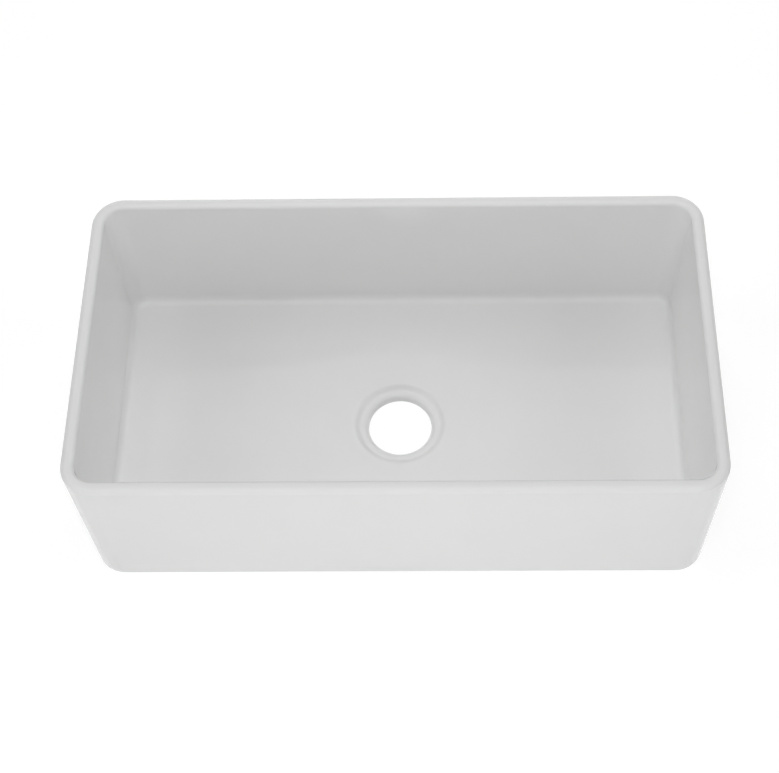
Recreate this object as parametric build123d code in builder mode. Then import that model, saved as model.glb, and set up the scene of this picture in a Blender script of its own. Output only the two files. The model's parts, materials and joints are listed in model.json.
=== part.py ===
from build123d import *
import os
from math import atan, degrees

# White gloss undermount kitchen sink, in millimetres.
# The origin is on the drain's axis, in the plane of the base that the bowl rests on.
# +X runs along the length, +Y towards the back wall, +Z up towards the rim.

# Bowl: outside sizes at the rim, walls and roundings
bowl_length = 838.0
bowl_depth = 454.0
bowl_height = 254.0
wall = 17.0
wall_lean = 2.5              # how far each wall leans in, from the rim down to the base
corner_radius = 42.0         # upright outside corners, at the rim
rim_outer_round = 8.0
rim_inner_round = 6.0
base_round = 5.0

# Floor: a shallow valley along the length, with a round dish in it that falls to the drain
floor_thickness = 26.8       # at the long walls
valley_fall = 4.3            # from the long walls down to the middle line
valley_round = 2900.0
dish_margin = 20.0           # from the long walls to the dish's edge
dish_edge_slope = 0.038
drain_thickness = 17.7       # at the top of the recess
floor_round = 12.0

# Drain: the hole, and the soft-edged recess that a strainer's flange drops into
drain_radius = 45.0
recess_width = 17.5
recess_slope_width = 4.5     # how far the recess's side leans out over its depth
recess_depth = 5.4
recess_round = 9.0
recess_foot_round = 6.0
drain_lip_round = 5.5
drain_foot_round = 1.5

# Hangers: where their screws stand on the outside of the walls
pivot_drop = 90.0            # from the rim down to each screw
side_spacing = 190.0         # between the two screws in each short wall
back_spacing = 270.0         # between neighbouring screws in the back wall

# Brass inserts, bonded into blind holes, each with its flange on a flat seat
insert_radius = 5.0
insert_length = 11.0
insert_flange_radius = 8.0
insert_flange = 2.0
seat_depth = 0.5             # of the flat seat in the leaning wall
bond_gap = 0.1
hole_spare_depth = 0.5

# Screws with a hexagon socket in a rounded head, and their washers
screw_radius = 3.0
screw_length = 14.0
thread_gap = 0.05
screw_head_radius = 5.5
screw_head_height = 3.6
screw_head_round = 2.4
socket_across_flats = 4.0
socket_depth = 2.0
washer_radius = 8.0
washer_thickness = 1.6
washer_gap = 0.2             # around the screw

# Brackets: a strap that hangs from its screw, bent outwards into a tab
strap_width = 25.0
strap_thickness = 2.5
strap_end_round = 10.0
bend_radius = 3.0            # inside the bend
tab_reach = 28.0             # from the back of the strap to the tab's tip
tab_corner_round = 6.0
stud_hole_radius = 3.5
pivot_clearance = 0.08       # around the screw
swing_gap = 0.1              # between the strap and what it turns against

# Pads: soft faces on the tabs, level with the rim when the brackets are turned up
pad_thickness = 3.0
pad_margin = 2.0
pad_corner_round = 4.0
pad_hole_radius = 5.0

os.makedirs("parts", exist_ok=True)

lean_angle = degrees(atan(wall_lean / bowl_height))
ledge_thickness = drain_thickness - recess_depth
recess_radius = drain_radius + recess_width
recess_foot_radius = recess_radius - recess_slope_width
space_length = bowl_length - 2 * wall
space_depth = bowl_depth - 2 * wall
dish_radius = space_depth / 2 - dish_margin
same_place = 0.01            # how near two edges lie when they count as one


def save(part, name):
    """Labels a finished piece and writes its STEP file."""
    part.label = name
    export_step(part, f"parts/{name}.step")


# The space inside the bowl, as the plug of its mould
with BuildPart() as basin_space:
    with BuildSketch(Plane.XY.offset(bowl_height)):
        RectangleRounded(space_length, space_depth, corner_radius - wall)
    extrude(amount=-bowl_height, taper=lean_angle)
    with BuildSketch(Plane.YZ) as under_floor:
        with BuildLine():
            Polyline(
                (-space_depth / 2, 0),
                (-space_depth / 2, floor_thickness),
                (0, floor_thickness - valley_fall),
                (space_depth / 2, floor_thickness),
                (space_depth / 2, 0),
                close=True,
            )
        make_face()
        fillet(under_floor.vertices().sort_by_distance((0, floor_thickness))[0], radius=valley_round)
    extrude(amount=space_length / 2, both=True, mode=Mode.SUBTRACT)
    with BuildSketch(Plane.XZ) as dish_space:
        with BuildLine():
            Polyline((0, ledge_thickness), (recess_foot_radius, ledge_thickness), (recess_radius, drain_thickness))
            TangentArc(
                (dish_radius, floor_thickness),
                (recess_radius, drain_thickness),
                tangent=(-1, -dish_edge_slope),
            )
            Polyline((dish_radius, floor_thickness), (0, floor_thickness), (0, ledge_thickness))
        make_face()
        fillet(dish_space.vertices().sort_by_distance((recess_radius, drain_thickness))[0], radius=recess_round)
        recess_foot = dish_space.vertices().sort_by_distance((recess_foot_radius, ledge_thickness))[0]
        fillet(recess_foot, radius=recess_foot_round)
    revolve(axis=Axis.Z)
    wall_faces = basin_space.faces().filter_by(lambda face: abs(face.normal_at().Z) < 0.5)
    fillet(wall_faces.edges().filter_by_position(Axis.Z, drain_thickness, floor_thickness), radius=floor_round)

# Hanger frames: x along the wall, y up and z outwards, from the flat seat behind each screw
pivot_height = bowl_height - pivot_drop
seat_inset = wall_lean * pivot_drop / bowl_height + seat_depth
side_seat = bowl_length / 2 - seat_inset
back_seat = bowl_depth / 2 - seat_inset
seats = {
    "left_front": Plane((-side_seat, -side_spacing / 2, pivot_height), x_dir=(0, -1, 0), z_dir=(-1, 0, 0)),
    "left_rear": Plane((-side_seat, side_spacing / 2, pivot_height), x_dir=(0, -1, 0), z_dir=(-1, 0, 0)),
    "right_front": Plane((side_seat, -side_spacing / 2, pivot_height), x_dir=(0, 1, 0), z_dir=(1, 0, 0)),
    "right_rear": Plane((side_seat, side_spacing / 2, pivot_height), x_dir=(0, 1, 0), z_dir=(1, 0, 0)),
    "back_left": Plane((-back_spacing, back_seat, pivot_height), x_dir=(-1, 0, 0), z_dir=(0, 1, 0)),
    "back_middle": Plane((0, back_seat, pivot_height), x_dir=(-1, 0, 0), z_dir=(0, 1, 0)),
    "back_right": Plane((back_spacing, back_seat, pivot_height), x_dir=(-1, 0, 0), z_dir=(0, 1, 0)),
}

# The bowl: one moulded piece, open at the top and at the drain
with BuildPart() as sink_bowl:
    with BuildSketch():
        RectangleRounded(bowl_length - 2 * wall_lean, bowl_depth - 2 * wall_lean, corner_radius - wall_lean)
    extrude(amount=bowl_height, taper=-lean_angle)
    fillet(sink_bowl.edges().group_by(Axis.Z)[0], radius=base_round)
    add(basin_space.part, mode=Mode.SUBTRACT)
    fillet(sink_bowl.faces().sort_by(Axis.Z)[-1].outer_wire().edges(), radius=rim_outer_round)
    fillet(sink_bowl.faces().sort_by(Axis.Z)[-1].inner_wires()[0].edges(), radius=rim_inner_round)
    with Locations((0, 0, ledge_thickness)):
        Hole(drain_radius, ledge_thickness)
    for edge_height, rounding in ((ledge_thickness, drain_lip_round), (0, drain_foot_round)):
        rings = sink_bowl.edges().filter_by(GeomType.CIRCLE)
        rings = rings.filter_by_position(Axis.Z, edge_height - same_place, edge_height + same_place)
        fillet(rings.filter_by(lambda edge: abs(edge.radius - drain_radius) < same_place), radius=rounding)
    with Locations(*[seat.offset(seat_depth) for seat in seats.values()]):
        CounterBoreHole(
            insert_radius + bond_gap,
            insert_flange_radius + bond_gap,
            seat_depth,
            seat_depth + insert_length + hole_spare_depth,
        )
save(sink_bowl.part, "sink_bowl")

# One insert in its seat's frame
with BuildPart() as insert:
    with BuildSketch():
        Circle(insert_flange_radius)
    extrude(amount=insert_flange)
    with BuildSketch():
        Circle(insert_radius)
    extrude(amount=-insert_length)
    with Locations((0, 0, insert_flange)):
        Hole(screw_radius + thread_gap, insert_flange + insert_length)

# One bracket in its seat's frame, hanging down: its tab's outer face looks down too
strap_back = insert_flange + swing_gap
strap_front = strap_back + strap_thickness
tab_tip = strap_back + tab_reach
tab_face = pad_thickness - pivot_drop
tab_flat_start = strap_front + bend_radius
stud_place = (tab_flat_start + tab_tip) / 2
side_view = Plane(origin=(0, 0, 0), x_dir=(0, 0, 1), z_dir=(-1, 0, 0))
with BuildPart() as hanging_bracket:
    with BuildSketch(side_view) as bent_strip:
        with BuildLine():
            Polyline(
                (strap_back, strap_width / 2),
                (strap_back, tab_face),
                (tab_tip, tab_face),
                (tab_tip, tab_face + strap_thickness),
                (strap_front, tab_face + strap_thickness),
                (strap_front, strap_width / 2),
                close=True,
            )
        make_face()
        inner_corner = (strap_front, tab_face + strap_thickness)
        fillet(bent_strip.vertices().sort_by_distance(inner_corner)[0], radius=bend_radius)
        outer_corner = (strap_back, tab_face)
        fillet(bent_strip.vertices().sort_by_distance(outer_corner)[0], radius=bend_radius + strap_thickness)
    extrude(amount=strap_width / 2, both=True)
    fillet(hanging_bracket.edges().filter_by(Axis.Z).group_by(Axis.Y)[-1], radius=strap_end_round)
    fillet(hanging_bracket.edges().filter_by(Axis.Y).group_by(Axis.Z)[-1], radius=tab_corner_round)
    with Locations((0, 0, strap_front)):
        Hole(screw_radius + pivot_clearance, strap_thickness)
    with Locations(Plane((0, tab_face, stud_place), x_dir=(1, 0, 0), z_dir=(0, -1, 0))):
        Hole(stud_hole_radius, strap_thickness)

# The pad under the hanging tab, bonded to its outer face
with BuildPart() as tab_pad:
    with BuildSketch(Plane((0, tab_face, stud_place), x_dir=(1, 0, 0), z_dir=(0, -1, 0))):
        RectangleRounded(strap_width - 2 * pad_margin, tab_tip - tab_flat_start - 2 * pad_margin, pad_corner_round)
        Circle(pad_hole_radius, mode=Mode.SUBTRACT)
    extrude(amount=pad_thickness)

# One washer and one screw in their seat's frame
washer_back = strap_front + swing_gap
with BuildPart() as washer:
    with BuildSketch(Plane.XY.offset(washer_back)):
        Circle(washer_radius)
        Circle(screw_radius + washer_gap, mode=Mode.SUBTRACT)
    extrude(amount=washer_thickness)

head_back = washer_back + washer_thickness
with BuildPart() as screw:
    with BuildSketch(Plane.XY.offset(head_back)):
        Circle(screw_head_radius)
    extrude(amount=screw_head_height)
    fillet(screw.edges().group_by(Axis.Z)[-1], radius=screw_head_round)
    with BuildSketch(Plane.XY.offset(head_back)):
        Circle(screw_radius)
    extrude(amount=-screw_length)
    with BuildSketch(Plane.XY.offset(head_back + screw_head_height)):
        RegularPolygon(socket_across_flats / 2, 6, major_radius=False)
    extrude(amount=-socket_depth, mode=Mode.SUBTRACT)

# The fixed hardware: one of each on every seat
for name, piece in (("wall_inserts", insert), ("bracket_washers", washer), ("bracket_screws", screw)):
    with BuildPart() as hardware:
        with Locations(*seats.values()):
            add(piece.part)
    save(hardware.part, name)

# The moving hardware: a bracket with its pad on every seat
for place, seat in seats.items():
    with BuildPart() as bracket:
        with Locations(seat):
            add(hanging_bracket.part)
    save(bracket.part, f"{place}_bracket")
    with BuildPart() as pad:
        with Locations(seat):
            add(tab_pad.part)
    save(pad.part, f"{place}_pad")
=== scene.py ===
import json
from math import cos, hypot, pi, radians, sin
from types import SimpleNamespace

import bmesh
import bpy
from bpy.props import FloatProperty, FloatVectorProperty, PointerProperty
from mathutils import Matrix, Vector


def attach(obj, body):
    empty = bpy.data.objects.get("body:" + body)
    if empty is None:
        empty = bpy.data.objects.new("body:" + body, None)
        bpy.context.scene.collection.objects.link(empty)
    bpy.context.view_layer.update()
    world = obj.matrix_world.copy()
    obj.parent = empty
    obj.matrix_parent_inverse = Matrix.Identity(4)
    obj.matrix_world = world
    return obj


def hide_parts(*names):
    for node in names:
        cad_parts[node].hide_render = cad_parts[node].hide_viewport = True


bl_info = {
    "name": "Undermount kitchen sink",
    "version": (1, 0, 0),
    "blender": (4, 5, 0),
    "location": "3D View > Sidebar > Sink",
    "description": "Builds a gloss white undermount sink, its swing-up hangers and a plain studio",
    "category": "Object",
}

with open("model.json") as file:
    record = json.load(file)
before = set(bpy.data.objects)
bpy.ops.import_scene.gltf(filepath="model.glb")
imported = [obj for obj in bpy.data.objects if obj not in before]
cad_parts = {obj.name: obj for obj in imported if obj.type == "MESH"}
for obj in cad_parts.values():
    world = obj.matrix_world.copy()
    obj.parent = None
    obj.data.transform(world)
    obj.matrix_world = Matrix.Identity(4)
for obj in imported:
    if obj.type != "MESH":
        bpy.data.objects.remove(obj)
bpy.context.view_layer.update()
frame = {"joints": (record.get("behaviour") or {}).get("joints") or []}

MM = 0.001
WHITE = (1, 1, 1, 1)


# Properties

def linear(hex_code):
    """An sRGB hex colour as linear red, green and blue."""
    channels = [int(hex_code[i:i + 2], 16) / 255 for i in (1, 3, 5)]
    return tuple(c / 12.92 if c <= 0.04045 else ((c + 0.055) / 1.055) ** 2.4 for c in channels)


def millimetres(name, description, value):
    """A length, given in millimetres and kept in metres."""
    return FloatProperty(
        name=name, description=description, default=value * MM,
        precision=4, unit="LENGTH", subtype="DISTANCE",
    )


def slope(name, description, value):
    """A fall over the length that it takes."""
    return FloatProperty(name=name, description=description, default=value, precision=4)


def share(name, description, value):
    """A share, from none to all."""
    return FloatProperty(name=name, description=description, default=value, subtype="FACTOR", min=0, max=1)


def watts(name, description, value):
    """The power of a lamp."""
    return FloatProperty(name=name, description=description, default=value, unit="POWER", min=0)


def colour(name, description, hex_code):
    """A colour, given as an sRGB hex code."""
    return FloatVectorProperty(
        name=name, description=description, default=linear(hex_code), subtype="COLOR", size=3
    )


class SinkBowlProperties(bpy.types.PropertyGroup):
    length: millimetres("Length", "Outside length at the rim", 838)
    depth: millimetres("Depth", "Outside size from front to back at the rim", 454)
    height: millimetres("Height", "From the base to the rim", 254)
    wall: millimetres("Wall", "Thickness of the walls", 17)
    lean: millimetres("Lean", "How far each wall leans in from the rim to the base", 2.5)
    corner: millimetres("Corner radius", "Upright outside corners at the rim", 42)
    rim_outer: millimetres("Outer rim rounding", "Radius of the rim's outer edge", 8)
    rim_inner: millimetres("Inner rim rounding", "Radius of the rim's inner edge", 6)
    base_round: millimetres("Base rounding", "Radius of the bottom edge", 5)
    floor: millimetres("Floor", "Height of the floor at the long walls", 26.8)
    floor_round: millimetres("Floor rounding", "Radius where the walls meet the floor", 12)
    valley_slope: slope("Valley slope", "Fall of the floor from the long walls to the middle line", 0.0208)
    valley_ease: millimetres("Valley easing", "Half width over which the valley's bottom is rounded", 60)
    dish_slope: slope("Dish slope", "Fall of the dish around the drain", 0.0558)
    dish_even: millimetres("Even dish", "Radius out to which the dish keeps its slope", 132)
    dish_edge: millimetres("Dish edge", "Radius at which the dish fades into the floor", 214)
    drain: millimetres("Drain radius", "Radius of the drain hole", 45)
    ledge: millimetres("Ledge", "Height of the ledge around the drain hole", 11.8)
    recess_foot: millimetres("Recess foot", "Radius at the foot of the recess's side", 58)
    recess_top: millimetres("Recess top", "Radius at the top of the recess's side", 64.5)
    lip: millimetres("Lip rounding", "Radius of the drain hole's upper edge", 8.5)
    glaze: colour("Glaze", "Colour of the gloss glaze", "#F2F2F2")
    bisque: colour("Bare base", "Colour of the unglazed underside", "#D9D6D0")


class SinkHangerProperties(bpy.types.PropertyGroup):
    insert_radius: millimetres("Insert radius", "Body of the brass insert in its wall", 5)
    insert_length: millimetres("Insert length", "Depth of the insert in its wall", 11)
    flange_radius: millimetres("Flange radius", "Flange of the brass insert", 8)
    flange: millimetres("Flange thickness", "Flange of the brass insert", 2)
    seat: millimetres("Seat depth", "Depth of the flat seat in the leaning wall", 0.5)
    bond: millimetres("Bond gap", "Adhesive around the insert", 0.1)
    spare: millimetres("Spare depth", "Blind hole beyond the insert", 0.5)
    screw_radius: millimetres("Screw radius", "Shank of the screw", 3)
    screw_length: millimetres("Screw length", "Under the head", 14)
    head_radius: millimetres("Head radius", "Rounded screw head", 5.5)
    head_height: millimetres("Head height", "Rounded screw head", 3.6)
    socket: millimetres("Socket", "Across the flats of the hexagon socket", 4)
    socket_depth: millimetres("Socket depth", "Depth of the hexagon socket", 2)
    washer_radius: millimetres("Washer radius", "Outside of the washer", 8)
    washer: millimetres("Washer thickness", "Thickness of the washer", 1.6)
    washer_bore: millimetres("Washer bore", "Radius of the washer's hole", 3.2)
    strap_width: millimetres("Strap width", "Width of the bracket's strip", 25)
    strap: millimetres("Strap thickness", "Thickness of the bracket's strip", 2.5)
    strap_gap: millimetres("Swing gap", "Between the strap and what it turns against", 0.1)
    strap_hole: millimetres("Pivot hole", "Radius of the bracket's screw hole", 3.08)
    end_round: millimetres("End rounding", "Corners of the bracket's screw end", 10)
    bend: millimetres("Bend radius", "Inside of the bracket's bend", 3)
    drop: millimetres("Drop", "From the screw to the face of the pad", 90)
    reach: millimetres("Reach", "From the back of the strap to the tab's tip", 28)
    tab_round: millimetres("Tab rounding", "Corners of the tab", 6)
    stud_hole: millimetres("Stud hole", "Radius of the tab's hole", 3.5)
    pad: millimetres("Pad thickness", "Thickness of the rubber pad", 3)
    pad_margin: millimetres("Pad margin", "From the pad's edge to the tab's edge", 2)
    pad_round: millimetres("Pad rounding", "Corners of the pad", 4)
    pad_hole: millimetres("Pad hole", "Radius of the pad's hole", 5)
    steel: colour("Bracket steel", "Brushed stainless strip", "#B9BABC")
    bright_steel: colour("Screw steel", "Turned stainless", "#C6C7C9")
    brass: colour("Brass", "Turned brass", "#D3B26B")
    rubber: colour("Rubber", "Moulded rubber", "#1B1B1D")


class SinkStageProperties(bpy.types.PropertyGroup):
    paper: colour("Paper", "Pale sheet that the sink stands on", "#ECECEC")
    shadow: share("Shadow", "How much of its shadow the sheet shows", 0.45)
    back_light: share("Light from behind", "Light that comes through the sheet", 0.75)
    # painted shade: the share of the paper's colour kept under the drain hole, darkened there for the dark
    # below the hole
    painted_shade_under_drain: share("Under the drain", "How much of its light the sheet gives back there", 0.8)
    sky: share("Sky", "Even light from all round", 0.058)
    high_lamp: watts("High lamp", "Soft box far above the sink's front", 44.4)
    back_lamp: watts("Back lamp", "Soft box over the back wall", 4.6)
    front_lamp: watts("Front lamp", "Low soft box in front", 8.1)
    level_lamp: watts("Level lamp", "Soft box just over the sheet, far in front", 3.3)
    rear_lamp: watts("Rear lamp", "Low soft box behind", 4.5)
    end_lamps: watts("End lamps", "Low soft boxes at both ends", 1.3)
    left_lamp: watts("Left lamp", "Large soft box high on the left", 30)
    right_lamp: watts("Right lamp", "Large soft box high on the right", 24.8)
    left_side_lamp: watts("Left side lamp", "Soft box half as high on the left", 6.8)
    right_side_lamp: watts("Right side lamp", "Soft box half as high on the right", 5.8)


def in_mm(group):
    """The group's lengths in millimetres and its other values as they are."""
    values = {}
    for key, prop in group.bl_rna.properties.items():
        if prop.type == "FLOAT":
            value = getattr(group, key)
            values[key] = value / MM if prop.unit == "LENGTH" else value
    return SimpleNamespace(**values)


# Material helpers

def add_node(tree, kind, inputs=None, **settings):
    """Adds one node with its settings; an input takes a value, or an output to link from."""
    node = tree.nodes.new(kind)
    for key, value in settings.items():
        setattr(node, key, value)
    for key, value in (inputs or {}).items():
        if isinstance(value, bpy.types.NodeSocket):
            tree.links.new(value, node.inputs[key])
        else:
            node.inputs[key].default_value = value
    return node


def new_material(name):
    """An empty node material, its tree and its output, and the place on the object in metres."""
    material = bpy.data.materials.new(name)
    material.use_nodes = True
    tree = material.node_tree
    tree.nodes.clear()
    out = add_node(tree, "ShaderNodeOutputMaterial")
    place = add_node(tree, "ShaderNodeTexCoord").outputs["Object"]
    return material, tree, out, place


def cover(tree, out, inputs):
    """Gives the material its surface, from the shader's inputs."""
    shader = add_node(tree, "ShaderNodeBsdfPrincipled", inputs)
    tree.links.new(shader.outputs["BSDF"], out.inputs["Surface"])


def noise(tree, place, grain, detail):
    """Noise with a grain in millimetres."""
    inputs = {"Vector": place, "Scale": 1 / (grain * MM), "Detail": detail}
    return add_node(tree, "ShaderNodeTexNoise", inputs).outputs["Fac"]


def shades(tree, factor, tint, first, last):
    """A tint that goes from one shade to another, both given as a share of it."""
    ends = {6: (*(c * first for c in tint), 1), 7: (*(min(1, c * last) for c in tint), 1)}
    return add_node(tree, "ShaderNodeMix", {0: factor, **ends}, data_type="RGBA").outputs[2]


def fade(tree, value, start=0.0, end=1.0, low=0.0, high=1.0):
    """Goes evenly from low to high while the value goes from start to end."""
    inputs = {"Value": value, "From Min": start, "From Max": end, "To Min": low, "To Max": high}
    return add_node(tree, "ShaderNodeMapRange", inputs).outputs["Result"]


def bump(tree, height, strength, depth, **below):
    """Relief with a depth in millimetres; it can lie on the Normal of another one below."""
    inputs = {"Height": height, "Strength": strength, "Distance": depth * MM, **below}
    return add_node(tree, "ShaderNodeBump", inputs).outputs["Normal"]


def vector_math(tree, operation, *vectors):
    """The outputs of one step of vector arithmetic."""
    return add_node(tree, "ShaderNodeVectorMath", dict(enumerate(vectors)), operation=operation).outputs


def largest(tree, first, *others):
    """The largest of some values."""
    for other in others:
        first = add_node(tree, "ShaderNodeMath", {0: first, 1: other}, operation="MAXIMUM").outputs[0]
    return first


# Materials

def glaze_material(tint):
    """Fireclay glaze, sprayed and fired: a clear even gloss over dense white, with very slight waves
    from the spraying that make the reflections drift a little, and a faint unevenness in depth."""
    material, tree, out, place = new_material("white_fired_glaze")
    pooling = noise(tree, place, grain=90, detail=2.0)
    haze = noise(tree, place, grain=35, detail=3.0)
    waves = noise(tree, place, grain=45, detail=1.0)
    peel = noise(tree, place, grain=3.5, detail=2.0)
    wavy = bump(tree, waves, strength=1.0, depth=0.02)
    cover(tree, out, {
        "Base Color": shades(tree, pooling, tint, first=0.985, last=1.015),
        "Roughness": fade(tree, haze, low=0.05, high=0.09),
        "IOR": 1.7,
        "Normal": bump(tree, peel, strength=1.0, depth=0.001, Normal=wavy),
    })
    return material


def bisque_material(tint):
    """Unglazed fired clay, ground flat: dry and chalky, with a fine grit that scatters the light."""
    material, tree, out, place = new_material("bare_fired_clay")
    grit = noise(tree, place, grain=1.5, detail=4.0)
    cloud = noise(tree, place, grain=60, detail=3.0)
    cover(tree, out, {
        "Base Color": shades(tree, cloud, tint, first=0.93, last=1.05),
        "Roughness": 0.85,
        "IOR": 1.5,
        "Normal": bump(tree, grit, strength=0.6, depth=0.15),
    })
    return material


def metal_material(name, tint, grain, roughness, stretch=None):
    """Solid metal, worked by a tool that leaves fine lines: they run along the strip where it is
    brushed, and round the axis where it is turned. The lines are drawn coarser than real ones,
    which are too fine to show, and they spread the highlights across themselves."""
    material, tree, out, place = new_material(name)
    local = add_node(tree, "ShaderNodeAttribute", attribute_name="piece_place").outputs["Vector"]
    if stretch:
        run = vector_math(tree, "MULTIPLY", local, stretch)["Vector"]
    else:
        flat = vector_math(tree, "MULTIPLY", local, (1, 1, 0))["Vector"]
        across = vector_math(tree, "LENGTH", flat)["Value"]
        depth = add_node(tree, "ShaderNodeSeparateXYZ", {0: local}).outputs["Z"]
        run = add_node(tree, "ShaderNodeCombineXYZ", {"X": across, "Y": depth}).outputs["Vector"]
    lines = noise(tree, run, grain, detail=3.0)
    stain = noise(tree, place, grain=12, detail=2.0)
    lines_share = 0.7
    wear = add_node(tree, "ShaderNodeMix", {0: lines_share, 2: stain, 3: lines}).outputs[0]
    low, high = roughness
    cover(tree, out, {
        "Base Color": shades(tree, wear, tint, first=0.72, last=1.25),
        "Metallic": 1.0,
        "Roughness": fade(tree, lines, low=low, high=high),
        "Normal": bump(tree, lines, strength=0.35, depth=0.03),
    })
    return material


def rubber_material(tint):
    """Moulded black rubber: a dull skin with a pebbled grain and a pale bloom of dust."""
    material, tree, out, place = new_material("moulded_black_rubber")
    pebbles = noise(tree, place, grain=0.8, detail=3.0)
    bloom = noise(tree, place, grain=7, detail=3.0)
    cover(tree, out, {
        "Base Color": shades(tree, bloom, tint, first=0.8, last=1.5),
        "Roughness": fade(tree, bloom, low=0.6, high=0.85),
        "IOR": 1.52,
        "Normal": bump(tree, pebbles, strength=0.5, depth=0.08),
    })
    return material


# Mesh helpers: everything is shaped in millimetres and turned to metres at the end

def verts_in(made):
    """The vertices among what an operator made."""
    return [item for item in made if isinstance(item, bmesh.types.BMVert)]


def everything(bm):
    """All vertices, edges and faces."""
    return bm.verts[:] + bm.edges[:] + bm.faces[:]


def grow(bm, ring, move):
    """Extrudes a closed ring of edges once, moves its new vertices, and returns the new ring."""
    made = bmesh.ops.extrude_edge_only(bm, edges=ring)["geom"]
    fresh = set(verts_in(made))
    for vert in fresh:
        vert.co = move(vert.co)
    return [e for e in made if isinstance(e, bmesh.types.BMEdge) and fresh.issuperset(e.verts)]


def to_circle(radius, height):
    """Moves a place straight out or in to a circle round the z axis; the height can depend on x and y."""
    def move(co):
        place = Vector((co.x, co.y, 0)).normalized() * radius
        place.z = height(place.x, place.y) if callable(height) else height
        return place
    return move


def soften(bm, geom, offset, segments, affect="EDGES"):
    """Rounds edges or vertices to tangent arcs that start at the offset from them."""
    bmesh.ops.bevel(
        bm, geom=geom, offset=offset, offset_type="OFFSET", segments=segments, profile=0.5,
        affect=affect, material=-1, clamp_overlap=False,
    )


def sharp_edges(bm, degrees=60):
    """Edges where two faces meet at more than the angle."""
    return [e for e in bm.edges if len(e.link_faces) == 2 and e.calc_face_angle() > radians(degrees)]


def mesh_object(bm, name, body, slot, node, materials, level=False):
    """Turns a finished bmesh in millimetres into a piece that rides on a body and stands for a CAD node."""
    bm.transform(Matrix.Scale(MM, 4))
    bmesh.ops.recalc_face_normals(bm, faces=bm.faces)
    for face in bm.faces:
        face.smooth = True
    mesh = bpy.data.meshes.new(name)
    bm.to_mesh(mesh)
    bm.free()
    for material in materials:
        mesh.materials.append(material)
    piece = bpy.data.objects.new(name, mesh)
    bpy.context.scene.collection.objects.link(piece)
    if level:
        flats = piece.modifiers.new("level_flats", "WEIGHTED_NORMAL")
        flats.weight = 80
    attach(piece, body)
    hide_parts(node)


def hanger_seats(h):
    """Each hanger's frame in millimetres: x along the wall, y up, z out, from the seat behind its screw."""
    up = Vector((0, 0, 1))
    to_strap = h.flange + h.strap_gap + h.strap / 2
    seats = {}
    for joint in frame["joints"]:
        out = Vector(joint["axis"]).normalized()
        origin = Vector(joint["pos_m"]) / MM - out * to_strap
        turn = Matrix((up.cross(out), up, out)).transposed().to_4x4()
        seats[joint["child"]] = Matrix.Translation(origin) @ turn
    return seats


def remember_place(bm):
    """Keeps each vertex's place in the piece's own frame, in metres, for lines that follow the piece."""
    layer = bm.verts.layers.float_vector.new("piece_place")
    for vert in bm.verts:
        vert[layer] = vert.co * MM


def copies(bm, matrices):
    """One bmesh with a copy of bm at each matrix; bm itself is freed."""
    mesh = bpy.data.meshes.new("copied_piece")
    bm.to_mesh(mesh)
    bm.free()
    all_copies = bmesh.new()
    for matrix in matrices:
        before = len(all_copies.verts)
        all_copies.from_mesh(mesh)
        all_copies.verts.ensure_lookup_table()
        bmesh.ops.transform(all_copies, matrix=matrix, verts=all_copies.verts[before:])
    bpy.data.meshes.remove(mesh)
    return all_copies


# The bowl

def floor_height(b, x, y):
    """Height of the basin's floor: a valley along the length, and a round dish in it."""
    across, radius = abs(y), hypot(x, y)
    half = b.depth / 2 - b.wall - b.lean
    if across < b.valley_ease:
        fall = b.valley_slope * (half - b.valley_ease / 2 - across * across / (2 * b.valley_ease))
    else:
        fall = b.valley_slope * (half - across)
    fading = b.dish_edge - b.dish_even
    if radius < b.dish_even:
        fall += b.dish_slope * (b.dish_even - radius + fading / 2)
    elif radius < b.dish_edge:
        fall += b.dish_slope * (b.dish_edge - radius) ** 2 / (2 * fading)
    return b.floor - fall


def round_rectangle(half_x, half_y, radius):
    """The edge of a rectangle with rounded corners, in even steps along its straight sides."""
    corner_steps, long_steps, short_steps, slack = 16, 84, 37, 0.5
    bm = bmesh.new()
    bmesh.ops.create_grid(bm, x_segments=1, y_segments=1, size=1)
    bmesh.ops.scale(bm, vec=(half_x, half_y, 1), verts=bm.verts)
    soften(bm, bm.verts, radius, corner_steps, affect="VERTICES")
    bmesh.ops.delete(bm, geom=bm.faces[:], context="FACES_ONLY")
    for steps, side in ((long_steps, 2 * (half_x - radius)), (short_steps, 2 * (half_y - radius))):
        straight = [e for e in bm.edges if abs(e.calc_length() - side) < slack]
        bmesh.ops.subdivide_edges(bm, edges=straight, cuts=steps - 1)
    return bm


def cut_seat(bm, b, h, seat, half_row):
    """Cuts a flat seat and a blind hole for the insert into the row of wall faces behind a screw."""
    half_window, wall_near, edge_near, mouth_steps = 18, 3, 40, 40
    mouth_radius, hole_radius = h.flange_radius + h.bond, h.insert_radius + h.bond
    to_seat = seat.inverted()

    def sunk(radius, depth):
        """Moves a place to a circle round the screw's axis, at a depth behind the seat."""
        move = to_circle(radius, -depth)
        return lambda co: seat @ move(to_seat @ co)

    window = []
    for face in bm.faces:
        x, y, z = to_seat @ face.calc_center_median()
        if abs(x) < half_window and abs(y) < half_row and abs(z) < wall_near:
            window.append(face)
    bmesh.ops.delete(bm, geom=window, context="FACES")

    # the mouth of the seat lies in the leaning wall
    circle = bmesh.ops.create_circle(
        bm, cap_ends=False, radius=mouth_radius, segments=mouth_steps, matrix=seat
    )["verts"]
    mouth = list(dict.fromkeys(edge for vert in circle for edge in vert.link_edges))
    for vert in circle:
        local = to_seat @ vert.co
        local.z = h.seat + b.lean * local.y / b.height
        vert.co = seat @ local
    border = [
        edge for edge in bm.edges
        if edge.is_boundary and edge not in mouth and (to_seat @ edge.verts[0].co).length < edge_near
    ]
    bmesh.ops.bridge_loops(bm, edges=border + mouth)

    ring = mouth
    for radius, depth in ((mouth_radius, 0), (hole_radius, 0), (hole_radius, h.insert_length + h.spare)):
        ring = grow(bm, ring, sunk(radius, depth))
    bmesh.ops.edgeloop_fill(bm, edges=ring)


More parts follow.
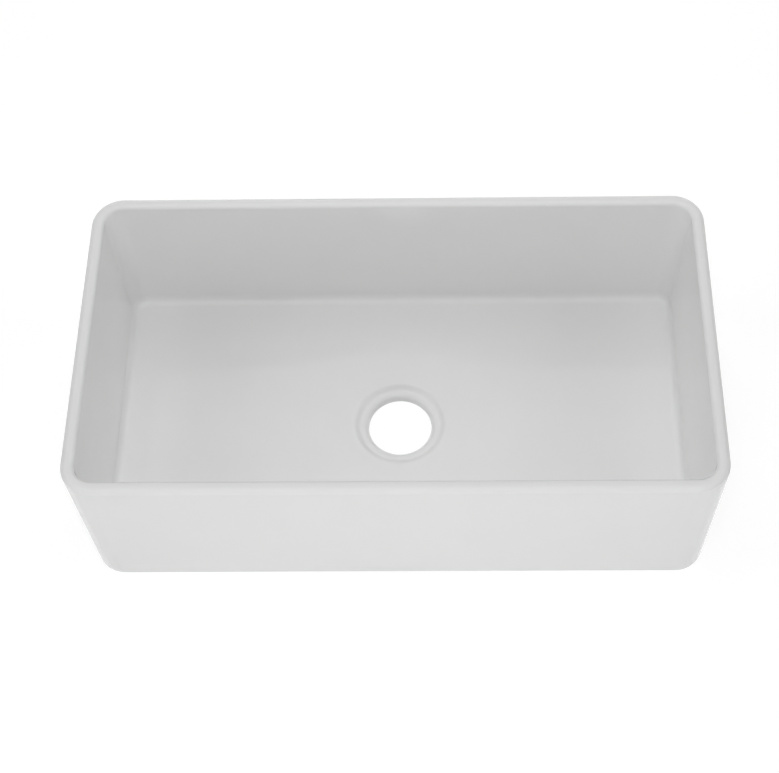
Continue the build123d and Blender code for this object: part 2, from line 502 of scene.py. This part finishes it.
def build_bowl(b, h):
    """The moulded bowl as rings that go out under the base, up, over the rim, down and in to the drain."""
    core_x, core_y = b.length / 2 - b.corner, b.depth / 2 - b.corner
    # the smaller roundings, and how far past a rounding the next ring lies, which keeps its arc true
    recess_top_round, recess_foot_round, hole_foot_round, support = 2, 1.8, 1.5, 1.5

    def around(radius, height):
        """Moves a place to a round-cornered rectangle at a distance from the core rectangle."""
        def move(co):
            core = Vector((max(-core_x, min(core_x, co.x)), max(-core_y, min(core_y, co.y)), 0))
            out = Vector((co.x, co.y, 0)) - core
            place = core + out.normalized() * radius
            place.z = height(place.x, place.y) if callable(height) else height
            return place
        return move

    def outer(height):
        """The outside's distance from the core rectangle."""
        return b.corner - b.lean * (b.height - height) / b.height

    def inner(height):
        """The inside's distance from the core rectangle."""
        return outer(height) - b.wall

    def on_floor(x, y):
        return floor_height(b, x, y)

    bm = round_rectangle(core_x + outer(0), core_y + outer(0), outer(0))
    base_edge = bm.edges[:]

    # underside, in to the drain hole
    ring = grow(bm, base_edge, around(outer(0) - b.base_round - support, 0))
    ring = grow(bm, ring, to_circle(b.drain + hole_foot_round + support, 0))
    hole_foot = grow(bm, ring, to_circle(b.drain, 0))

    # outer wall, with a row of faces for the hangers' seats
    seat_height, half_row = b.height - h.drop, 18
    wall_top = b.height - b.rim_outer - support
    ring = base_edge
    for height in (b.base_round + support, seat_height - half_row, seat_height + half_row, wall_top):
        ring = grow(bm, ring, around(outer(height), height))
    rim_outer = grow(bm, ring, around(outer(b.height), b.height))
    middle = (outer(b.height) - b.rim_outer + inner(b.height) + b.rim_inner) / 2
    ring = grow(bm, rim_outer, around(middle, b.height))
    rim_inner = grow(bm, ring, around(inner(b.height), b.height))

    # inner wall
    above_floor = b.floor + b.floor_round + support
    ring = rim_inner
    for height in (b.height - b.rim_inner - support, (b.height + above_floor) / 2, above_floor):
        ring = grow(bm, ring, around(inner(height), height))
    crease = grow(bm, ring, around(inner(b.floor), on_floor))
    margin = grow(bm, crease, around(inner(b.floor) - b.floor_round - support, on_floor))

    # floor, from the rounded rectangle to a circle round the recess
    recess_edge, floor_steps = b.recess_top + recess_top_round + support, 36
    centre = grow(bm, margin, to_circle(recess_edge, on_floor))
    far, near = ({vert for edge in ends for vert in edge.verts} for ends in (margin, centre))
    spokes = [e for e in bm.edges if len(far.intersection(e.verts)) == 1 == len(near.intersection(e.verts))]
    bmesh.ops.subdivide_edges(bm, edges=spokes, cuts=floor_steps - 1, use_grid_fill=True)
    floor_x, floor_y = (core + inner(b.floor) - b.floor_round for core in (core_x, core_y))
    above_base, slack = 5, 1
    for vert in bm.verts:
        x, y, z = vert.co
        within = abs(x) < floor_x and abs(y) < floor_y and hypot(x, y) > recess_edge - slack
        if within and above_base < z < b.floor + slack:
            vert.co.z = on_floor(x, y)

    # recess and drain hole
    ledge_middle = (b.drain + b.lip + b.recess_foot - recess_foot_round) / 2
    recess_top = grow(bm, centre, to_circle(b.recess_top, on_floor))
    recess_foot = grow(bm, recess_top, to_circle(b.recess_foot, b.ledge))
    ring = grow(bm, recess_foot, to_circle(ledge_middle, b.ledge))
    hole_lip = grow(bm, ring, to_circle(b.drain, b.ledge))
    ring = grow(bm, hole_lip, to_circle(b.drain, b.ledge - b.lip - support))
    bmesh.ops.bridge_loops(bm, edges=ring + hole_foot)

    for edges, radius, segments in (
        (base_edge, b.base_round, 6),
        (rim_outer, b.rim_outer, 10),
        (rim_inner, b.rim_inner, 8),
        (crease, b.floor_round, 12),
        (recess_top, recess_top_round, 6),
        (recess_foot, recess_foot_round, 6),
        (hole_lip, b.lip, 10),
        (hole_foot, hole_foot_round, 3),
    ):
        soften(bm, edges, radius, segments)
    for seat in hanger_seats(h).values():
        cut_seat(bm, b, h, seat, half_row)

    creased = set(sharp_edges(bm, degrees=40))
    for edge in bm.edges:
        edge.smooth = edge not in creased
    base_high = 0.01
    for face in bm.faces:
        face.material_index = int(all(vert.co.z < base_high for vert in face.verts))
    return bm


class SINK_OT_bowl(bpy.types.Operator):
    """Build the moulded bowl with its dished floor and drain"""
    bl_idname = "sink.bowl"
    bl_label = "Bowl"

    def execute(self, context):
        b, h = in_mm(context.scene.sink_bowl), in_mm(context.scene.sink_hangers)
        materials = [glaze_material(b.glaze), bisque_material(b.bisque)]
        mesh_object(build_bowl(b, h), "moulded_bowl", "bowl", "white_glaze", "sink_bowl", materials)
        return {"FINISHED"}


# The hangers

def turned(profile, segments=48):
    """Turned rings through the profile's radii and heights; also gives the first and the last ring."""
    bm = bmesh.new()
    (radius, height), *rest = profile
    bmesh.ops.create_circle(bm, cap_ends=False, radius=radius, segments=segments)
    bmesh.ops.translate(bm, vec=(0, 0, height), verts=bm.verts)
    first = ring = bm.edges[:]
    for radius, height in rest:
        ring = grow(bm, ring, to_circle(radius, height))
    return bm, first, ring


def build_insert(h):
    """A brass insert: a grooved body that grips the adhesive, a flange, and a bore with eased ends."""
    body, tip, bore = h.insert_radius, -h.insert_length, h.screw_radius + 0.05
    ease, flange_ease, slack = 0.5, 0.25, 0.01
    groove_depth, groove_width, grooves = 0.35, 1, (-9.2, -7.2, -5.2, -3.2)
    profile = [(bore + ease, tip), (body - ease, tip), (body, tip + ease)]
    for low in grooves:
        high = low + groove_width
        profile += [
            (body, low), (body - groove_depth, low + groove_depth),
            (body - groove_depth, high - groove_depth), (body, high),
        ]
    profile += [
        (body, 0), (h.flange_radius, 0), (h.flange_radius, h.flange),
        (bore + ease, h.flange), (bore, h.flange - ease), (bore, tip + ease),
    ]
    bm, first, last = turned(profile)
    bmesh.ops.bridge_loops(bm, edges=first + last)
    outer_edges = [e for e in sharp_edges(bm) if e.verts[0].co.xy.length > h.flange_radius - slack]
    soften(bm, outer_edges, flange_ease, segments=2)
    return bm


def build_washer(h, back):
    """A flat washer with eased edges."""
    front = back + h.washer
    bm, first, last = turned(
        [(h.washer_bore, back), (h.washer_radius, back), (h.washer_radius, front), (h.washer_bore, front)]
    )
    bmesh.ops.bridge_loops(bm, edges=first + last)
    soften(bm, sharp_edges(bm), offset=0.2, segments=2)
    return bm


def build_screw(h, back):
    """A screw with a rounded head: from the tip of its shank, round the head and down into the socket."""
    tip, top, sixth = back - h.screw_length, back + h.head_height, radians(60)
    point, crown_round, crown_support, mouth = 0.6, 2.4, 0.05, 0.12

    def on_hexagon(across_flats, height):
        """Moves a place straight out or in to a hexagon round the z axis."""
        def move(co):
            place = Vector((co.x, co.y, 0))
            turn = sixth * round(place.xy.angle_signed(Vector((1, 0))) / sixth)
            place *= across_flats / 2 / place.dot(Vector((cos(turn), sin(turn), 0)))
            place.z = height
            return place
        return move

    shank = h.screw_radius
    bm, point_ring, under_head = turned(
        [(shank - point, tip), (shank, tip + point), (shank, back), (h.head_radius, back)]
    )
    bmesh.ops.edgeloop_fill(bm, edges=point_ring)
    crown = grow(bm, under_head, to_circle(h.head_radius, top))
    ring = grow(bm, crown, to_circle(h.head_radius - crown_round - crown_support, top))
    ring = grow(bm, ring, on_hexagon(h.socket + 2 * mouth, top))
    ring = grow(bm, ring, on_hexagon(h.socket, top - mouth))
    ring = grow(bm, ring, on_hexagon(h.socket, top - h.socket_depth))
    bmesh.ops.edgeloop_fill(bm, edges=ring)
    soften(bm, crown, crown_round, segments=8)
    soften(bm, under_head, offset=0.2, segments=2)
    return bm


def flat_blank(width, height, rounds, holes, thickness, cuts=()):
    """A flat strip down from the x axis, with rounded corners, and round holes on its middle line: half of
    it is outlined and filled, then mirrored, cut across where it will bend, and given its thickness."""
    half, corner_steps, hole_steps, weld = width / 2, 10, 24, 0.001
    bm = bmesh.new()
    outline = [bm.verts.new(co) for co in ((0, 0, 0), (half, 0, 0), (half, -height, 0), (0, -height, 0))]
    first, upper, lower, last = outline
    for pair in zip(outline, outline[1:]):
        bm.edges.new(pair)
    for place, radius in holes:
        start = bm.verts.new((0, -place - radius, 0))
        bm.edges.new((last, start))
        arc = bmesh.ops.spin(
            bm, geom=[start], cent=(0, -place, 0), axis=(0, 0, 1), angle=pi, steps=hole_steps
        )
        last = verts_in(arc["geom_last"])[0]
    bm.edges.new((last, first))
    bmesh.ops.contextual_create(bm, geom=bm.edges[:])
    for corner, radius in zip((upper, lower), rounds):
        soften(bm, [corner], radius, corner_steps, affect="VERTICES")
    bmesh.ops.mirror(bm, geom=everything(bm), matrix=Matrix(), merge_dist=weld, axis="X")
    for place in cuts:
        bmesh.ops.bisect_plane(bm, geom=everything(bm), plane_co=(0, -place, 0), plane_no=(0, 1, 0))
    made = bmesh.ops.extrude_face_region(bm, geom=bm.faces[:])["geom"]
    bmesh.ops.translate(bm, vec=(0, 0, thickness), verts=verts_in(made))
    bmesh.ops.recalc_face_normals(bm, faces=bm.faces)
    return bm


def build_bracket(h):
    """A bracket bent from flat strip: the strap hangs from the screw, and the tab takes the stud."""
    strap_back, pad_face = h.flange + h.strap_gap, -h.drop
    middle, outer = h.bend + h.strap / 2, h.bend + h.strap
    bend_y, bend_z = pad_face + h.pad + outer, strap_back + outer
    strap_length = h.strap_width / 2 - bend_y
    bend_end = strap_length + middle * pi / 2
    tab = strap_back + h.reach - bend_z
    bend_steps = 12
    cuts = [strap_length + middle * pi / 2 * step / bend_steps for step in range(bend_steps + 1)]
    bm = flat_blank(
        h.strap_width, bend_end + tab, (h.end_round, h.tab_round),
        ((bend_end + tab / 2, h.stud_hole), (h.strap_width / 2, h.strap_hole)), h.strap, cuts,
    )
    soften(bm, sharp_edges(bm), offset=0.3, segments=3)
    remember_place(bm)
    for vert in bm.verts:
        x, along, through = vert.co.x, -vert.co.y, vert.co.z
        if along <= strap_length:
            vert.co = (x, h.strap_width / 2 - along, strap_back + through)
        elif along <= bend_end:
            turn, radius = (along - strap_length) / middle, outer - through
            vert.co = (x, bend_y - radius * sin(turn), bend_z - radius * cos(turn))
        else:
            vert.co = (x, pad_face + h.pad + through, bend_z + along - bend_end)
    return bm


def build_pad(h):
    """The rubber pad under the tab: a moulded block with rounded edges and a hole that clears the stud."""
    tab_start = h.flange + h.strap_gap + h.strap + h.bend
    tab_end = h.flange + h.strap_gap + h.reach
    size = tab_end - tab_start - 2 * h.pad_margin
    bm = flat_blank(
        h.strap_width - 2 * h.pad_margin, size, (h.pad_round, h.pad_round), ((size / 2, h.pad_hole),), h.pad
    )
    soften(bm, sharp_edges(bm), offset=0.5, segments=4)
    for vert in bm.verts:
        vert.co = (vert.co.x, vert.co.z - h.drop, tab_start + h.pad_margin - vert.co.y)
    return bm


class SINK_OT_fixings(bpy.types.Operator):
    """Put a brass insert, a washer and a screw on every seat"""
    bl_idname = "sink.fixings"
    bl_label = "Inserts, washers and screws"

    def execute(self, context):
        h = in_mm(context.scene.sink_hangers)
        back = h.flange + h.strap + 2 * h.strap_gap
        brass = metal_material("turned_brass", h.brass, grain=0.35, roughness=(0.22, 0.38))
        steel = metal_material("turned_stainless_steel", h.bright_steel, grain=0.3, roughness=(0.16, 0.3))
        for bm, name, slot, node, material in (
            (build_insert(h), "flanged_brass_inserts", "brass", "wall_inserts", brass),
            (build_washer(h, back), "flat_washers", "stainless", "bracket_washers", steel),
            (build_screw(h, back + h.washer), "round_head_screws", "stainless", "bracket_screws", steel),
        ):
            remember_place(bm)
            bm = copies(bm, hanger_seats(h).values())
            mesh_object(bm, name, "bowl", slot, node, [material], level=True)
        return {"FINISHED"}


class SINK_OT_brackets(bpy.types.Operator):
    """Hang a bent steel bracket from every screw"""
    bl_idname = "sink.brackets"
    bl_label = "Brackets"

    def execute(self, context):
        h = in_mm(context.scene.sink_hangers)
        steel = metal_material(
            "brushed_stainless_strip", h.steel, grain=0.5, roughness=(0.28, 0.48), stretch=(1, 0.02, 1)
        )
        for place, seat in hanger_seats(h).items():
            bm, node = copies(build_bracket(h), [seat]), f"{place}_bracket"
            mesh_object(bm, f"{place}_hanger", place, "bracket_steel", node, [steel], level=True)
        return {"FINISHED"}


class SINK_OT_pads(bpy.types.Operator):
    """Bond a rubber pad under every bracket's tab"""
    bl_idname = "sink.pads"
    bl_label = "Rubber pads"

    def execute(self, context):
        h = in_mm(context.scene.sink_hangers)
        rubber = rubber_material(h.rubber)
        for place, seat in hanger_seats(h).items():
            bm, node = copies(build_pad(h), [seat]), f"{place}_pad"
            mesh_object(bm, f"{place}_rubber", place, "pad_rubber", node, [rubber], level=True)
        return {"FINISHED"}


# The stage

class SINK_OT_stage(bpy.types.Operator):
    """Set up the pale sheet, the soft light and the camera"""
    bl_idname = "sink.stage"
    bl_label = "Stage"

    def execute(self, context):
        scene, s = context.scene, context.scene.sink_stage
        self.lay_paper(scene, s)
        self.light_sky(scene, s)
        self.hang_lamps(scene, s)
        self.place_camera(scene)
        scene.view_settings.view_transform = "Standard"
        return {"FINISHED"}

    def lay_paper(self, scene, s):
        """Lays the sheet just below the sink's base."""
        half_size, below = 6, 0.5 * MM
        bm = bmesh.new()
        bmesh.ops.create_grid(bm, x_segments=1, y_segments=1, size=half_size)
        bmesh.ops.translate(bm, vec=(0, 0, -below), verts=bm.verts)
        mesh = bpy.data.meshes.new("paper_floor")
        bm.to_mesh(mesh)
        bm.free()
        mesh.materials.append(self.paper_material(s))
        floor = bpy.data.objects.new("paper_floor", mesh)
        scene.collection.objects.link(floor)

    def paper_material(self, s):
        """Matt paper. The camera sees it lit from behind as well, so that it is white and still shows the
        sink's shadow, and plain white under the drain hole and far from the sink. Reflections meet plain
        white. Under the drain hole the paper's colour is painted darker, a painted shade for the dark below
        the hole, so that it gives less of the lamps' light back to the sink."""
        material, tree, out, place = new_material("white_paper")
        rays = add_node(tree, "ShaderNodeLightPath").outputs
        # the fades are in metres from the drain's axis
        flat = vector_math(tree, "MULTIPLY", place, (1, 1, 0))["Vector"]
        away = vector_math(tree, "LENGTH", flat)["Value"]
        # painted shade: this mask darkens the paper's colour under the drain hole, for the light it bounces
        # to the sink
        under = fade(tree, away, start=0.06, end=0.1, low=1.0, high=0.0)
        near = fade(tree, away, start=0.1, end=0.16, low=1.0, high=0.0)
        far = fade(tree, away, start=0.7, end=1.6)
        # the paper's colour, with painted shade under the drain hole
        bounce_with_painted_shade = shades(tree, under, s.paper, first=1, last=s.painted_shade_under_drain)
        lit = add_node(tree, "ShaderNodeBsdfDiffuse", {"Color": bounce_with_painted_shade}).outputs[0]
        shadow = (*(c * s.shadow for c in s.paper), 1)
        shaded = add_node(tree, "ShaderNodeBsdfDiffuse", {"Color": shadow}).outputs[0]
        behind = add_node(tree, "ShaderNodeEmission", {"Color": WHITE, "Strength": s.back_light}).outputs[0]
        sheet = add_node(tree, "ShaderNodeAddShader", {0: shaded, 1: behind}).outputs[0]
        to_camera = rays["Is Camera Ray"]
        seen = add_node(tree, "ShaderNodeMixShader", {0: to_camera, 1: lit, 2: sheet}).outputs[0]
        plain = add_node(
            tree, "ShaderNodeMath", {0: to_camera, 1: largest(tree, near, far)}, operation="MULTIPLY"
        ).outputs[0]
        all_white = largest(tree, plain, rays["Is Glossy Ray"], rays["Is Transmission Ray"])
        white = add_node(tree, "ShaderNodeEmission", {"Color": WHITE, "Strength": 1.0}).outputs[0]
        paper = add_node(tree, "ShaderNodeMixShader", {0: all_white, 1: seen, 2: white})
        tree.links.new(paper.outputs[0], out.inputs["Surface"])
        return material

    def light_sky(self, scene, s):
        """White all round for the camera and for reflections, and a faint even light."""
        world = bpy.data.worlds.new("studio")
        scene.world = world
        world.use_nodes = True
        tree = world.node_tree
        tree.nodes.clear()
        rays = add_node(tree, "ShaderNodeLightPath").outputs
        shown = largest(tree, rays["Is Camera Ray"], rays["Is Glossy Ray"], rays["Is Transmission Ray"])
        light = add_node(tree, "ShaderNodeBackground", {"Color": WHITE, "Strength": s.sky})
        white = add_node(tree, "ShaderNodeBackground", {"Color": WHITE, "Strength": 1.0})
        mix = add_node(tree, "ShaderNodeMixShader", {0: shown, 1: light.outputs[0], 2: white.outputs[0]})
        out = add_node(tree, "ShaderNodeOutputWorld")
        tree.links.new(mix.outputs[0], out.inputs["Surface"])

    def hang_lamps(self, scene, s):
        """Hangs the soft boxes, each with its place and its size in metres, turned to the basin."""
        basin = Vector((0, 0, 0.15))
        for name, place, size, energy in (
            ("high_soft_box", (0.0, -1.5, 4.5), 1.5, s.high_lamp),
            ("back_soft_box", (0.0, 0.9, 1.5), 0.8, s.back_lamp),
            ("front_soft_box", (0.0, -1.6, 0.7), 1.0, s.front_lamp),
            ("level_soft_box", (0.0, -2.5, 0.15), 0.6, s.level_lamp),
            ("rear_soft_box", (0.0, 1.9, 0.6), 1.2, s.rear_lamp),
            ("left_end_soft_box", (-2.1, 0.0, 0.6), 1.2, s.end_lamps),
            ("right_end_soft_box", (2.1, 0.0, 0.6), 1.2, s.end_lamps),
            ("left_soft_box", (-3.5, 0.0, 3.5), 3.0, s.left_lamp),
            ("right_soft_box", (3.5, 0.0, 3.5), 3.0, s.right_lamp),
            ("left_side_soft_box", (-2.5, 0.0, 2.0), 1.5, s.left_side_lamp),
            ("right_side_soft_box", (2.5, 0.0, 2.0), 1.5, s.right_side_lamp),
        ):
            lamp = bpy.data.lights.new(name, "AREA")
            lamp.shape = "SQUARE"
            lamp.size = size
            lamp.energy = energy
            soft_box = bpy.data.objects.new(name, lamp)
            scene.collection.objects.link(soft_box)
            turn = (basin - Vector(place)).to_track_quat("-Z", "Y").to_matrix().to_4x4()
            soft_box.matrix_world = Matrix.Translation(place) @ turn
            soft_box.visible_glossy = False
            soft_box.visible_camera = False

    def place_camera(self, scene):
        """Puts the camera where it was fitted to the photograph's outline, rim, creases and drain."""
        camera = bpy.data.cameras.new("camera")
        camera.lens = 72.0
        camera.sensor_width = 36.0
        camera.shift_x = -0.02712
        holder = bpy.data.objects.new("camera", camera)
        scene.collection.objects.link(holder)
        place = (0.059942, -1.079072, 1.977122)
        turn, tilt, roll = radians(2.2671), radians(90 - 59.8059), radians(-2.3036)
        holder.matrix_world = (
            Matrix.Translation(place)
            @ Matrix.Rotation(turn, 4, "Z") @ Matrix.Rotation(tilt, 4, "X") @ Matrix.Rotation(roll, 4, "Z")
        )
        scene.camera = holder


class SINK_PT_panel(bpy.types.Panel):
    """The sink's pieces and its stage"""
    bl_idname = "SINK_PT_panel"
    bl_label = "Sink"
    bl_space_type = "VIEW_3D"
    bl_region_type = "UI"
    bl_category = "Sink"

    def draw(self, context):
        for operator in OPERATORS:
            self.layout.operator(operator.bl_idname)


OPERATORS = (SINK_OT_bowl, SINK_OT_fixings, SINK_OT_brackets, SINK_OT_pads, SINK_OT_stage)
GROUPS = (
    ("sink_bowl", SinkBowlProperties),
    ("sink_hangers", SinkHangerProperties),
    ("sink_stage", SinkStageProperties),
)


def register():
    for name, group in GROUPS:
        bpy.utils.register_class(group)
        setattr(bpy.types.Scene, name, PointerProperty(type=group))
    for cls in (*OPERATORS, SINK_PT_panel):
        bpy.utils.register_class(cls)


def unregister():
    for cls in reversed((*OPERATORS, SINK_PT_panel)):
        bpy.utils.unregister_class(cls)
    for name, group in reversed(GROUPS):
        delattr(bpy.types.Scene, name)
        bpy.utils.unregister_class(group)


def main():
    register()
    bpy.ops.sink.bowl()
    bpy.ops.sink.fixings()
    bpy.ops.sink.brackets()
    bpy.ops.sink.pads()
    bpy.ops.sink.stage()


if __name__ == "__main__":
    main()
